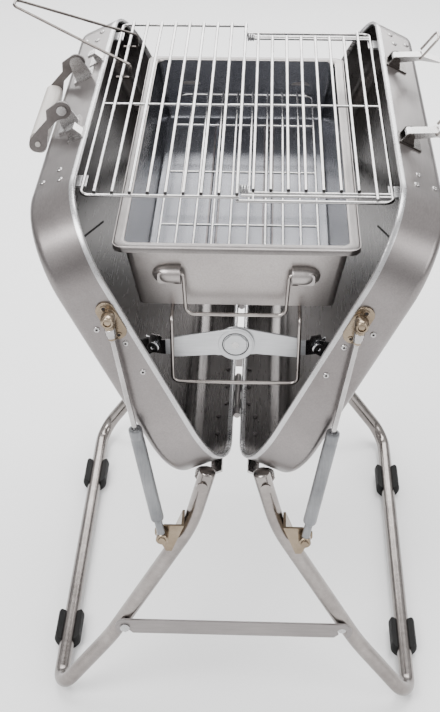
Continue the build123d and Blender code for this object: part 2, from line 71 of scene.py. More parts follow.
def coords(nt, scale):
    tc = nt.nodes.new("ShaderNodeTexCoord")
    mp = nt.nodes.new("ShaderNodeMapping")
    mp.inputs["Scale"].default_value = scale
    nt.links.new(tc.outputs["Object"], mp.inputs["Vector"])
    return mp.outputs["Vector"]


def noise(nt, vec, scale, detail=3.0, rough=0.55):
    n = nt.nodes.new("ShaderNodeTexNoise")
    n.inputs["Scale"].default_value = scale
    n.inputs["Detail"].default_value = detail
    n.inputs["Roughness"].default_value = rough
    nt.links.new(vec, n.inputs["Vector"])
    return n.outputs["Fac"]


def ramp(nt, fac, stops):
    r = nt.nodes.new("ShaderNodeValToRGB")
    els = r.color_ramp.elements
    while len(els) < len(stops):
        els.new(0.5)
    for e, (p, c) in zip(els, stops):
        e.position = p
        e.color = (*c, 1) if len(c) == 3 else c
    nt.links.new(fac, r.inputs["Fac"])
    return r.outputs["Color"]


def span(nt, fac, lo, hi):
    r = nt.nodes.new("ShaderNodeMapRange")
    r.inputs["To Min"].default_value = lo
    r.inputs["To Max"].default_value = hi
    nt.links.new(fac, r.inputs["Value"])
    return r.outputs["Result"]


def mix(nt, fac, a, b, mode="MIX"):
    m = nt.nodes.new("ShaderNodeMix")
    m.data_type = "RGBA"
    m.blend_type = mode
    if isinstance(fac, float):
        m.inputs["Factor"].default_value = fac
    else:
        nt.links.new(fac, m.inputs["Factor"])
    nt.links.new(a, m.inputs["A"])
    nt.links.new(b, m.inputs["B"])
    return m.outputs["Result"]


def bump(nt, height, strength, dist, bsdf):
    b = nt.nodes.new("ShaderNodeBump")
    b.inputs["Strength"].default_value = strength
    b.inputs["Distance"].default_value = dist
    nt.links.new(height, b.inputs["Height"])
    nt.links.new(b.outputs["Normal"], bsdf.inputs["Normal"])


def metal(name, dark, light, rough=(0.3, 0.45), grain=(1, 1, 1), grain_scale=900.0, cloud=14.0,
          metallic=1.0, bump_strength=0.12, wave=0.0, spots=0.0):
    """Sheet or wire metal: cloudy tone, fine grain stretched along one way, faint handling marks."""
    m, nt, b = mat_new(name)
    b.inputs["Metallic"].default_value = metallic
    v = coords(nt, (1, 1, 1))
    g = coords(nt, grain)
    fine = noise(nt, g, grain_scale, 2.0, 0.5)
    big = noise(nt, v, cloud, 4.0, 0.6)
    tone = ramp(nt, big, [(0.3, dark), (0.7, light)])
    grey = ramp(nt, fine, [(0.25, (0.82, 0.82, 0.82)), (0.75, (1.0, 1.0, 1.0))])
    colour = mix(nt, 1.0, tone, grey, "MULTIPLY")
    if spots:
        s = noise(nt, v, 160.0, 2.0, 0.5)
        s2 = ramp(nt, s, [(0.66, (1, 1, 1)), (0.78, (1 - spots, 1 - spots, 1 - spots))])
        colour = mix(nt, 1.0, colour, s2, "MULTIPLY")
    nt.links.new(colour, b.inputs["Base Color"])
    nt.links.new(span(nt, mix(nt, 0.5, big, fine), rough[0], rough[1]), b.inputs["Roughness"])
    height = fine
    if wave:
        height = mix(nt, wave, fine, noise(nt, v, 9.0, 1.5, 0.4))
    bump(nt, height, bump_strength, 0.0004, b)
    return m


M_STEEL = metal("m_case_steel", (0.18, 0.164, 0.16), (0.255, 0.235, 0.23), (0.24, 0.36), (1, 0.05, 1), 700,
                9.0, 0.85, 0.1, 0.3, 0.06)
M_RIM = metal("m_rim", (0.40, 0.396, 0.40), (0.56, 0.556, 0.56), (0.22, 0.34), (1, 1, 1), 500, 20.0, 0.9, 0.06)
# darker copy of the case steel for the inside of the shells: painted shade
M_INSIDE_SHADE = metal("m_case_inside", (0.105, 0.097, 0.095), (0.18, 0.168, 0.164), (0.22, 0.34), (1, 0.04, 1), 600,
                 7.0, 0.9, 0.12, 0.6)
M_PAN = metal("m_pan", (0.31, 0.283, 0.272), (0.41, 0.382, 0.37), (0.3, 0.42), (1, 0.1, 1), 600, 10.0, 0.9, 0.1, 0.3, 0.1)
# darker copy of the pan metal for the pan's inside: painted shade in the recess
M_PAN_INSIDE_SHADE = metal("m_pan_inside", (0.12, 0.122, 0.135), (0.205, 0.208, 0.226), (0.2, 0.3), (1, 0.05, 1), 600, 6.0,
                 1.0, 0.07, 0.3)
M_PAN_RIM = metal("m_pan_rim", (0.17, 0.157, 0.152), (0.26, 0.244, 0.238), (0.24, 0.36), (1, 0.1, 1), 600, 12.0, 0.95, 0.08)
M_TUBE = metal("m_tube", (0.20, 0.18, 0.17), (0.31, 0.285, 0.27), (0.18, 0.3), (0.2, 0.2, 0.2), 900, 16.0, 1.0,
               0.08, 0.2, 0.1)
M_ARM = metal("m_arm_satin", (0.46, 0.465, 0.475), (0.56, 0.565, 0.575), (0.32, 0.44), (0.05, 1, 1), 900, 12.0, 0.75, 0.08)
M_BRACKET = metal("m_bracket", (0.34, 0.34, 0.35), (0.52, 0.52, 0.53), (0.12, 0.22), (1, 1, 1), 700, 16.0, 1.0, 0.08)
M_WIRE = metal("m_grate_wire", (0.34, 0.33, 0.327), (0.56, 0.55, 0.545), (0.12, 0.24), (1, 1, 1), 1200, 30.0, 1.0, 0.05)
M_WIRE_DULL = metal("m_bail_wire", (0.30, 0.27, 0.255), (0.46, 0.425, 0.40), (0.22, 0.36), (1, 1, 1), 1200, 30.0,
                    1.0, 0.05)
M_GOLD = metal("m_yellow_zinc", (0.17, 0.13, 0.09), (0.31, 0.25, 0.185), (0.18, 0.3), (1, 1, 1), 800, 30.0, 0.9,
               0.08, 0.0, 0.12)
M_SILVER = metal("m_strut_paint", (0.15, 0.153, 0.159), (0.235, 0.24, 0.247), (0.24, 0.36), (1, 1, 0.05), 800, 24.0,
                 0.85, 0.06, 0.0, 0.08)
M_ROD = metal("m_strut_rod", (0.30, 0.285, 0.28), (0.45, 0.435, 0.43), (0.1, 0.2), (1, 1, 1), 900, 30.0, 1.0, 0.03)
M_PLATED = metal("m_plated", (0.36, 0.348, 0.343), (0.55, 0.537, 0.53), (0.2, 0.34), (1, 1, 1), 900, 40.0, 1.0, 0.06)
# dark metal for rivet tails inside the case and for the pan's rib creases: painted shade
M_SHADED_METAL = metal("m_rivet_dark", (0.10, 0.09, 0.09), (0.22, 0.2, 0.2), (0.3, 0.45), (1, 1, 1), 900, 60.0, 1.0, 0.06)
M_WIRE_DARK = metal("m_handle_wire", (0.08, 0.07, 0.065), (0.16, 0.145, 0.135), (0.2, 0.34), (1, 1, 1), 1200, 30.0,
                    1.0, 0.05)
M_GUN = metal("m_gunmetal", (0.085, 0.075, 0.072), (0.16, 0.145, 0.14), (0.34, 0.5), (1, 1, 1), 700, 30.0, 0.7, 0.12)
M_HINGE = metal("m_hinge", (0.16, 0.15, 0.15), (0.3, 0.28, 0.27), (0.3, 0.45), (1, 1, 1), 700, 30.0, 1.0, 0.1)
M_CROSS = metal("m_crossbar", (0.225, 0.208, 0.203), (0.29, 0.27, 0.263), (0.4, 0.55), (0.04, 1, 1), 800, 9.0, 0.75,
                0.1, 0.2, 0.05)


def plastic(name, dark, light, rough=0.5, grain=260.0, strength=0.2, spec=0.4):
    m, nt, b = mat_new(name)
    v = coords(nt, (1, 1, 1))
    big = noise(nt, v, 22.0, 3.0)
    fine = noise(nt, v, grain, 2.0)
    nt.links.new(mix(nt, 0.25, ramp(nt, big, [(0.3, dark), (0.7, light)]),
                     ramp(nt, fine, [(0.3, dark), (0.7, light)])), b.inputs["Base Color"])
    nt.links.new(span(nt, fine, rough - 0.08, rough + 0.08), b.inputs["Roughness"])
    b.inputs["Specular IOR Level"].default_value = spec
    bump(nt, fine, strength, 0.0003, b)
    return m


M_RUBBER = plastic("m_rubber", (0.006, 0.006, 0.006), (0.015, 0.015, 0.015), 0.62, 900.0, 0.3, 0.2)
M_GRIP = plastic("m_grip", (0.33, 0.308, 0.285), (0.42, 0.397, 0.372), 0.45, 500.0, 0.15, 0.4)
# near-black material for sheets laid into holes, slits, grooves and openings: painted shade
M_PAINTED_SHADE = plastic("m_shadow", (0.01, 0.009, 0.009), (0.025, 0.022, 0.022), 0.7, 200.0, 0.1, 0.2)


# ------------------------------------------------------------ geometry helpers
def piece(name, verts, faces, mat, body, replaces=(), smooth=35.0, bevel=0.0, segs=2, subsurf=0):
    me = bpy.data.meshes.new(name)
    me.from_pydata([tuple(v) for v in verts], [], faces)
    me.validate()
    bm = bmesh.new()
    bm.from_mesh(me)
    bmesh.ops.remove_doubles(bm, verts=bm.verts, dist=1e-6)
    bmesh.ops.recalc_face_normals(bm, faces=bm.faces)
    bm.to_mesh(me)
    bm.free()
    return finish_piece(name, me, mat, body, replaces, smooth, bevel, segs, subsurf)


def finish_piece(name, me, mat, body, replaces=(), smooth=35.0, bevel=0.0, segs=2, subsurf=0):
    ob = bpy.data.objects.new(name, me)
    bpy.context.scene.collection.objects.link(ob)
    me.materials.append(mat)
    if bevel:
        mod = ob.modifiers.new("bevel", "BEVEL")
        mod.width = bevel * MM
        mod.segments = segs
        mod.limit_method = "ANGLE"
        mod.angle_limit = radians(30)
        mod.harden_normals = True
    if subsurf:
        mod = ob.modifiers.new("sub", "SUBSURF")
        mod.levels = subsurf
        mod.render_levels = subsurf
    for p in me.polygons:
        p.use_smooth = True
    me.set_sharp_from_angle(angle=radians(smooth))
    if replaces:
        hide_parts(*replaces)
    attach(ob, body)
    return ob


def merge(parts):
    """Several (verts, faces) as one."""
    verts, faces = [], []
    for vs, fs in parts:
        k = len(verts)
        verts += list(vs)
        faces += [tuple(i + k for i in f) for f in fs]
    return verts, faces


def basis(normal, up=None):
    n = Vector(normal).normalized()
    ref = Vector(up) if up else (Vector((0, 0, 1)) if abs(n.z) < 0.9 else Vector((1, 0, 0)))
    x = ref.cross(n).normalized()
    return x, n.cross(x), n


def lathe(origin, axis, profile, n=40):
    """profile: (radius mm, height mm) from the axis out and back; closed where radius is 0."""
    x, y, z = basis(axis)
    verts, faces, rings = [], [], []
    for r, h in profile:
        if r < 1e-6:
            rings.append([len(verts)])
            verts.append(origin + z * h * MM)
        else:
            k = len(verts)
            rings.append(list(range(k, k + n)))
            for i in range(n):
                a = 2 * pi * i / n
                verts.append(origin + (x * cos(a) + y * sin(a)) * r * MM + z * h * MM)
    for a, b in zip(rings, rings[1:]):
        for i in range(n):
            j = (i + 1) % n
            if len(a) == 1 and len(b) == 1:
                continue
            if len(a) == 1:
                faces.append((a[0], b[i], b[j]))
            elif len(b) == 1:
                faces.append((a[i], b[0], a[j]))
            else:
                faces.append((a[i], b[i], b[j], a[j]))
    return verts, faces


def prism(points, depth_vec):
    """Outline (world points) pushed along a vector."""
    n = len(points)
    verts = list(points) + [p + depth_vec for p in points]
    faces = [tuple(range(n)), tuple(range(2 * n - 1, n - 1, -1))]
    faces += [(i, (i + 1) % n, n + (i + 1) % n, n + i) for i in range(n)]
    return verts, faces


def arc(cx, cy, r, a0, a1, n=12):
    return [(cx + r * cos(radians(a0 + (a1 - a0) * i / n)), cy + r * sin(radians(a0 + (a1 - a0) * i / n)))
            for i in range(n + 1)]


def round_rect(w, y0, y1, r_low, r_high, n=14):
    """Rounded rectangle from -w to w and y0 to y1, anticlockwise from low right."""
    return (arc(w - r_low, y0 + r_low, r_low, -90, 0, n) + arc(w - r_high, y1 - r_high, r_high, 0, 90, n)
            + arc(-w + r_high, y1 - r_high, r_high, 90, 180, n) + arc(-w + r_low, y0 + r_low, r_low, 180, 270, n))


def loft(rings, cap_first=False, cap_last=False):
    n = len(rings[0])
    verts = [p for r in rings for p in r]
    faces = []
    for k in range(len(rings) - 1):
        for i in range(n):
            j = (i + 1) % n
            faces.append((k * n + i, k * n + j, (k + 1) * n + j, (k + 1) * n + i))
    if cap_first:
        faces.append(tuple(range(n)))
    if cap_last:
        faces.append(tuple((len(rings) - 1) * n + i for i in range(n)))
    return verts, faces


def bend(points, radii, n=8):
    """Rounds the corners of a polyline of world points; radii in mm, one per inner corner."""
    out = [points[0]]
    for p, q, s, r in zip(points, points[1:], points[2:], radii):
        a, b = (p - q).normalized(), (s - q).normalized()
        half = a.angle(b) / 2
        reach = r * MM / max(1e-6, sin(half) / cos(half))
        centre = q + (a + b).normalized() * (r * MM / sin(half))
        v0, v1 = q + a * reach - centre, q + b * reach - centre
        for i in range(n + 1):
            out.append(centre + v0.normalized().slerp(v1.normalized(), i / n) * (r * MM))
    out.append(points[-1])
    return out


def tube_mesh(path, radius, n=16, caps=True, closed=False):
    rings = []
    count = len(path)
    prev = None
    for i, p in enumerate(path):
        if closed:
            t = (path[(i + 1) % count] - path[i - 1]).normalized()
        else:
            t = (path[min(i + 1, count - 1)] - path[max(i - 1, 0)]).normalized()
        if prev is None:
            x = t.orthogonal().normalized()
        else:
            x = (prev - t * prev.dot(t)).normalized()
        prev = x
        y = t.cross(x)
        r = radius[i] if isinstance(radius, (list, tuple)) else radius
        rings.append([p + (x * cos(2 * pi * k / n) + y * sin(2 * pi * k / n)) * r * MM for k in range(n)])
    if closed:
        v, f = loft(rings)
        k = (len(rings) - 1) * n
        f += [(k + i, k + (i + 1) % n, (i + 1) % n, i) for i in range(n)]
        return v, f
    return loft(rings, caps, caps)


def paint(node, mat):
    """Give a CAD node a better material."""
    ob = NODES[node]
    if not ob.material_slots:
        ob.data.materials.append(mat)
    for s in ob.material_slots:
        s.link = "OBJECT"
        s.material = mat


# ------------------------------------------------------------ cases
def lip_ring(side, inset, depth, n=14):
    pts = round_rect(CASE_W / 2 - inset, inset, CASE_H - inset, LOW_R - inset, HIGH_R - inset, n)
    return [case(side, x, y, depth) for x, y in pts]


for side, hand in SIDES:
    body = "case_" + hand
    paint(hand + "_shell", M_STEEL)
    # inside walls, folded corner and floor, just clear of the pressed shell, in a darker copy of the case steel:
    # painted shade inside the case
    rings = [lip_ring(side, 3.2, 0.6), lip_ring(side, 3.2, 5.2), lip_ring(side, 1.9, 5.4)]
    rings += [lip_ring(side, 1.9, d) for d in (16, 26, 33)]
    for k in range(1, 13):
        a = radians(7.5 * k)
        rings.append(lip_ring(side, 1.9 + 20 * (1 - cos(a)), 33 + 20 * sin(a)))
    v, f = loft(rings, False, True)
    piece("inside_" + hand, v, f, M_INSIDE_SHADE, body, smooth=50)
    # folded lip in a brighter copy of the steel: painted highlight along the rolled edge
    prof = [(-0.25, 5.6), (-0.25, 0.9), (0.5, -0.1), (1.6, -0.3), (2.6, -0.1), (3.3, 0.8), (3.3, 5.2)]
    v, f = loft([lip_ring(side, i, d, 18) for i, d in prof])
    piece("lip_" + hand, v, f, M_RIM, body, smooth=60)


def rivet_mesh(origin, normal, r, h, dimple=True):
    prof = [(r, -0.2), (r, h * 0.45), (r * 0.86, h * 0.85), (r * 0.62, h)]
    if dimple:
        prof += [(r * 0.42, h), (r * 0.34, h * 0.55), (0, h * 0.5)]
    else:
        prof += [(r * 0.3, h * 1.08), (0, h * 1.1)]
    return lathe(origin, normal, prof, 20)


for side, hand in SIDES:
    up = Vector((side * SN, 0, CS))
    inner, outer, holes = [], [], []
    for u, d in ((63, 9), (100, 9), (135, 9), (155, 19), (189, 19)):
        for s in (-1, 1):
            inner.append(rivet_mesh(case(side, s * u, 2.0, d), up, 3.0, 1.5, False))
    for u, d in ((180, 23), (205, 19), (195, 41)):
        for s in (-1, 1):
            outer.append(rivet_mesh(case(side, s * u, CASE_H, d), up, 3.4, 1.5))
            holes.append(lathe(case(side, s * u, CASE_H + 0.72, d), up, [(1.3, 0), (1.3, 0.25), (0, 0.3)], 14))
    for v, d in ((246, 34), (219, 15), (180, 15)):
        for s in (-1, 1):
            outer.append(rivet_mesh(case(side, s * CASE_W / 2, v, d), (0, s, 0), 3.3, 1.5))
            holes.append(lathe(case(side, s * (CASE_W / 2 + 0.72), v, d), (0, s, 0), [(1.3, 0), (1.3, 0.25), (0, 0.3)], 14))
    v, f = merge(outer)
    heads = piece("rivet_heads_" + hand, v, f, M_PLATED, "case_" + hand, ("rivets_" + hand,))
    # rivet tails inside the case, darker than the heads: painted shade
    v, f = merge(inner)
    piece("rivet_tails_" + hand, v, f, M_SHADED_METAL, "case_" + hand)
    # dark discs in the rivet heads' holes: painted shade
    v, f = merge(holes)
    piece("rivet_bores_" + hand, v, f, M_PAINTED_SHADE, "case_" + hand)
    paint("hinge_leaves_" + hand, M_HINGE)
    paint("leg_brackets_" + hand, M_PLATED)
    paint("leg_pins_" + hand, M_TUBE)
    paint("grate_ledges_" + hand, M_RIM)
    paint("leg_frame_" + hand, M_TUBE)
    paint("crossbar_pins_" + hand, M_RIM)
paint("hinge_pins", M_HINGE)

# ------------------------------------------------------------ rounded ends on the leg tubes
for side, hand in SIDES:
    parts = []
    for s in (-1, 1):
        for x0, z0, dx, dz in ((30, 374.5, -20, 78),):
            parts.append(lathe(at(side * x0, s * 272, z0), (side * dx, 0, dz),
                               [(9.45, -0.4), (9.45, 0.1), (8.9, 1.2), (7.2, 2.2), (4.0, 2.9), (0, 3.1)], 36))
    v, f = merge(parts)
    piece("leg_ends_" + hand, v, f, M_TUBE, "leg_" + hand, smooth=60)

# ------------------------------------------------------------ rubber feet
for side, hand in SIDES:
    v_all = []
    for s in (-1, 1):
        c = at(side * 222, s * 163, 14)
        rings = []
        for k, y in enumerate([-26, -25.6, -24.4, -22.5] + [-19 + 2.375 * i for i in range(17)] + [22.5, 24.4, 25.6, 26]):
            edge = max(0.0, (abs(y) - 22) / 4)
            r_out = 17.4 - 3.2 * edge ** 2 - (0.35 if abs(y) < 20 and k % 2 else 0)
            gap = 58
            pts = []
            for a in [90 + gap + (360 - 2 * gap) * i / 44 for i in range(45)]:
                x, z = r_out * cos(radians(a)), r_out * sin(radians(a))
                pts.append((x, max(z, -13.95)))
            for a in [90 - gap - (360 - 2 * gap) * i / 44 for i in range(45)]:
                pts.append((9.56 * cos(radians(a)), 9.56 * sin(radians(a))))
            rings.append([c + Vector((x, y, z)) * MM for x, z in pts])
        v_all.append(loft(rings, True, True))
    v, f = merge(v_all)
    piece("pads_" + hand, v, f, M_RUBBER, "leg_" + hand, ("foot_pads_" + hand,), smooth=40)

# ------------------------------------------------------------ gas struts, their joints and brackets
BALL_V, BALL_D = 257.0, 14.0
STUD = (80.0, 308.5)
SOCKET, ROD_OUT, CYL = 24.0, 113.0, 129.0
for side, hand in SIDES:
    plates, studs, bores = [], [], []
    for e, place in ENDS:
        y = e * 309
        top = case(side, y, BALL_V, BALL_D)
        low = at(side * STUD[0], y, STUD[1])
        axis = (low - top).normalized()
        length = (low - top).length / MM
        rod_body, cyl_body = "rod_%s_%s" % (place, hand), "cylinder_%s_%s" % (place, hand)
        # rod with its formed end fitting and round socket
        rod = lathe(top, axis, [(0, 9), (4.6, 9), (5.6, 10), (5.6, 16), (5.0, 17.5), (4.4, 21), (4.0, 23.6), (3, 24.6),
                                (3, 24.8), (3, 80), (3, SOCKET + ROD_OUT + 8), (0, SOCKET + ROD_OUT + 8)], 32)
        ball = lathe(case(side, e * 303.1, BALL_V, BALL_D), (0, e, 0),
                     [(4.1, 0), (7.0, 0), (7.4, 0.8), (7.5, 3), (7.5, 8), (7.0, 11.2), (5.6, 12.7), (4.6, 12.9),
                      (4.1, 12.9), (4.1, 0)], 40)
        v, f = merge([rod])
        piece("rod_" + place + "_" + hand, v, f, M_ROD, rod_body, ("strut_rod_%s_%s" % (place, hand),))
        v, f = ball
        piece("socket_" + place + "_" + hand, v, f, M_GOLD, rod_body, bevel=0)
        neck = lathe(top, axis, [(5.0, 6.0), (5.2, 7), (5.4, 10), (5.1, 15), (4.6, 19), (4.4, 22.5), (3.05, 24.2)], 32)
        v, f = neck
        piece("socket_neck_" + place + "_" + hand, v, f, M_GOLD, rod_body)
        # cylinder: rolled mouth, crimp groove, plain barrel, rounded tail and eye
        z0 = SOCKET + ROD_OUT
        prof = [(3.1, z0 + 6), (3.1, z0 + 0.6), (4.4, z0 + 0.1), (5.9, z0 + 0.1), (6.9, z0 + 0.5), (7.4, z0 + 1.6),
                (7.5, z0 + 3), (7.5, z0 + 11), (7.32, z0 + 11.7), (7.2, z0 + 12.6), (7.32, z0 + 13.5), (7.5, z0 + 14.2),
                (7.5, z0 + CYL - 5), (7.42, z0 + CYL - 3), (7.0, z0 + CYL - 1.2), (6.0, z0 + CYL - 0.1),
                (4.7, z0 + CYL), (4.5, z0 + CYL + 1), (4.5, z0 + CYL + 12), (4.6, length - 7), (0, length - 7)]
        v, f = lathe(top, axis, prof, 48)
        piece("cylinder_" + place + "_" + hand, v, f, M_SILVER, cyl_body,
              ("strut_cylinder_%s_%s" % (place, hand),))
        eye = lathe(at(side * STUD[0], e * 301.8, STUD[1]), (0, e, 0),
                    [(0, 0), (6.6, 0), (7, 0.5), (7, 11.7), (6.6, 12.2), (4.4, 12.2), (4.2, 12.6), (3.9, 13.8), (2.6, 14.1),
                     (0, 14.1)], 36)
        v, f = eye
        piece("eye_" + place + "_" + hand, v, f, M_GOLD, cyl_body)
        # yellow oval plate with two holes and a stepped boss
        flat = []
        yw = e * 298.0
        ctr_v, ctr_d = BALL_V - 7, BALL_D + 1
        for a in range(0, 360, 6):
            r_x, r_y = 10.0, 13.0
            x = r_x * cos(radians(a))
            yy = r_x * sin(radians(a)) + (r_y if sin(radians(a)) > 0 else -r_y if sin(radians(a)) < 0 else 0)
            flat.append(case(side, yw, ctr_v + yy, ctr_d + x))
        plates.append(prism(flat, Vector((0, e * 2.5 * MM, 0))))
        studs.append(lathe(case(side, e * 300.4, BALL_V, BALL_D), (0, e, 0),
                           [(8.2, -0.2), (8.2, 0.6), (7.0, 0.9), (6.4, 1.1), (6.4, 2.1), (4.0, 2.2), (4.0, 12), (3.95, 14.2),
                            (3.2, 14.6), (0, 14.6)], 36))
        studs.append(lathe(case(side, e * 300.5, ctr_v + 16.5, ctr_d), (0, e, 0),
                           [(3.6, -0.1), (3.6, 0.5), (3.0, 0.9), (2.0, 0.9), (1.7, 0.3), (0, 0.3)], 20))
        studs.append(lathe(case(side, e * 300.5, ctr_v - 17.5, ctr_d), (0, e, 0),
                           [(3.2, -0.1), (3.2, 0.5), (2.7, 0.8), (1.7, 0.8), (1.5, 0.3), (0, 0.3)], 20))
        # dark discs in the plate's two holes: painted shade
        for dv in (16.5, -17.5):
            bores.append(lathe(case(side, e * 300.85, ctr_v + dv, ctr_d), (0, e, 0), [(1.75, 0), (1.75, 0.3), (0, 0.35)], 16))
    v, f = merge(bores)
    piece("ball_plate_bores_" + hand, v, f, M_PAINTED_SHADE, "case_" + hand)
    v, f = merge(plates)
    piece("ball_plate_" + hand, v, f, M_GOLD, "case_" + hand, ("ball_plates_" + hand,), bevel=0.5)
    v, f = merge(studs)
    piece("ball_stud_" + hand, v, f, M_GOLD, "case_" + hand)
    paint("strut_brackets_" + hand, M_GOLD)

# ------------------------------------------------------------ crossbars
paint("crossbar_front", M_CROSS)
paint("crossbar_rear", M_CROSS)

# ------------------------------------------------------------ spreader arms and hubs
HUB_Z, ARM_PIN_V, ARM_PIN_D = 534.5, 178.3, 8.0
pin = case(1, 0, ARM_PIN_V, ARM_PIN_D)
pin_x, pin_z = pin.x / MM - SHIFT, pin.z / MM
for e, place in ENDS:
    for side, hand in SIDES:
        near, far = (254.0, 251.5) if side < 0 else (251.1, 248.7)
        out = [(0, HUB_Z + 20)]
        out += [(side * x, z) for x, z in ((8, HUB_Z + 18.6), (16, HUB_Z + 16.6), (65, 542), (66, 541.2), (66, 517.8),
                                           (65, 517), (22, 520.6), (17.5, 520), (14.6, 520.4))]
        out += [(side * 20 * sin(radians(a)), HUB_Z + 20 * cos(radians(a))) for a in range(140, 360, 8)]
        pts = [at(x, e * near, z) for x, z in out]
        v, f = prism(pts, Vector((0, -e * (near - far) * MM, 0)))
        piece("arm_%s_%s" % (place, hand), v, f, M_ARM, "arm_%s_%s" % (place, hand),
              ("spreader_arm_%s_%s" % (place, hand),), bevel=0.6, segs=3)
        # bright tongue that curves back towards the case, with a raised tab
        rings = []
        reach = pin_x + 7.5 - 62
        for t in [k / 24 for k in range(25)]:
            x, back = 62 + reach * t, 0.35 + 7.0 * max(0.0, t - 0.25) ** 2 / 0.56
            tab = 4.6 if 0.52 < t < 0.87 else 0
            yf = near - back
            rings.append([at(side * x, e * yy, z) for yy, z in
                          ((yf, 520.2), (yf, 538 + tab), (yf - 1.7, 538.4 + tab), (yf - 1.7, 519.8))])
        for name, part, mat in (("root", rings[:10], M_ARM), ("tongue", rings[9:], M_BRACKET)):
            v, f = loft(part, True, True)
            piece("%s_%s_%s" % (name, place, hand), v, f, mat, "arm_%s_%s" % (place, hand), smooth=25)
    hub = at(0, e * 253.9, HUB_Z)
    ring = lathe(hub, (0, e, 0), [(18.6, 0), (18.3, 0.5), (17.2, 0.75), (15.2, 0.75), (14.4, 0.5), (14.1, 0.05)], 72)
    octo = []
    for k in range(8):
        a = radians(22.5 + 45 * k)
        octo.append(hub + Vector((12.9 * cos(a), 0, 12.9 * sin(a))) * MM)
    v, f = merge([ring])
    piece("hub_ring_" + place, v, f, M_ARM, "arm_%s_left" % place)
    v, f = prism(octo, Vector((0, e * 1.9 * MM, 0)))
    piece("hub_cap_" + place, v, f, M_ARM, "arm_%s_left" % place, ("spreader_hub_" + place,), bevel=0.7, segs=3)
    v, f = lathe(at(0, e * 255.75, HUB_Z), (0, e, 0), [(4.2, 0), (4.0, 0.35), (2.4, 0.45), (1.2, 0.2), (0, 0.15)], 24)
    piece("hub_rivet_" + place, v, f, M_PLATED, "arm_%s_left" % place)
    # thin dark ring round the cap: painted shade in the groove
    v, f = lathe(at(0, e * 254.02, HUB_Z), (0, e, 0), [(14.2, 0), (14.2, 0.06), (13.2, 0.06), (13.2, 0)], 72)
    piece("hub_groove_" + place, v, f, M_PAINTED_SHADE, "arm_%s_left" % place)

for side, hand in SIDES:
    parts = []
    for e in (-1, 1):
        poly = [(ARM_PIN_D, ARM_PIN_V + 9), (30, 190), (51.4, 206), (51.4, 160), (30, 168), (ARM_PIN_D, ARM_PIN_V - 9)]
        poly += [(ARM_PIN_D - 9 * sin(radians(a)), ARM_PIN_V - 9 * cos(radians(a))) for a in range(15, 180, 15)]
        parts.append(prism([case(side, e * 245.9, v, d) for d, v in poly], Vector((0, e * 2.4 * MM, 0))))
        foot = [case(side, e * 248.2, v, d) for d, v in ((51.2, 161), (53.1, 161), (53.1, 205), (51.2, 205))]
        parts.append(prism(foot, Vector((0, -e * 26 * MM, 0))))
        tip = 255.3 if side < 0 else 252.4
        parts.append(lathe(case(side, e * 245.9, ARM_PIN_V, ARM_PIN_D), (0, e, 0),
                           [(0, 0), (3.9, 0), (3.9, tip - 247), (6.2, tip - 246.9), (6.4, tip - 246.4), (5.4, tip - 245.9),
                            (2.2, tip - 245.9), (1.6, tip - 246.4), (0, tip - 246.5)], 32))
        for v in (167, 199):
            parts.append(lathe(case(side, e * 232, v, 51.25), (-side * CS, 0, SN), [(3.2, 0), (3.0, 0.7), (1.8, 1.2), (0, 1.3)], 20))
    v, f = merge(parts)
    piece("bracket_" + hand, v, f, M_BRACKET, "case_" + hand, ("spreader_brackets_" + hand,), bevel=0.3)
    # slit in the case's flat face, drawn as a thin dark strip: painted shade
    parts = []
    for e in (-1,):
        a, b = (e * 142, 277), (e * 60, 249)
        nrm = Vector((a[1] - b[1], -(a[0] - b[0]))).normalized() * 1.1
        quad = [case(side, a[0] + nrm.x, a[1] + nrm.y, 53), case(side, b[0] + nrm.x, b[1] + nrm.y, 53),
                case(side, b[0] - nrm.x, b[1] - nrm.y, 53), case(side, a[0] - nrm.x, a[1] - nrm.y, 53)]
        parts.append(prism(quad, case(side, 0, 0, 52.8) - case(side, 0, 0, 53.02)))
    v, f = merge(parts)
    piece("slit_" + hand, v, f, M_PAINTED_SHADE, "case_" + hand)

# ------------------------------------------------------------ charcoal pan, grid, bails and cradles
paint("charcoal_pan", M_PAN)
paint("charcoal_grid", M_WIRE)
FLOOR, TOP = 571.5, 650.0


def pan_ring(z, gap, n=8):
    t = (z - FLOOR) / (TOP - FLOOR)
    w, h = 103 + 14 * t - gap, 234 + 10 * t - gap
    return [at(x, y, z) for x, y in round_rect(w, -h, h, 8 - gap, 8 - gap, n)]


# inside of the pan, in the darker copy of the pan metal: painted shade
rings = [pan_ring(z, 1.5) for z in (649.2, 630, 610, 590, 576.5)]
for k in range(1, 6):
    a = radians(18 * k)
    rings.append([p for p in pan_ring(576.5 - 3.2 * sin(a), 1.5 + 3.0 * (1 - cos(a)))])
v, f = loft(rings, False, True)
piece("pan_inside", v, f, M_PAN_INSIDE_SHADE, "pan", smooth=50)
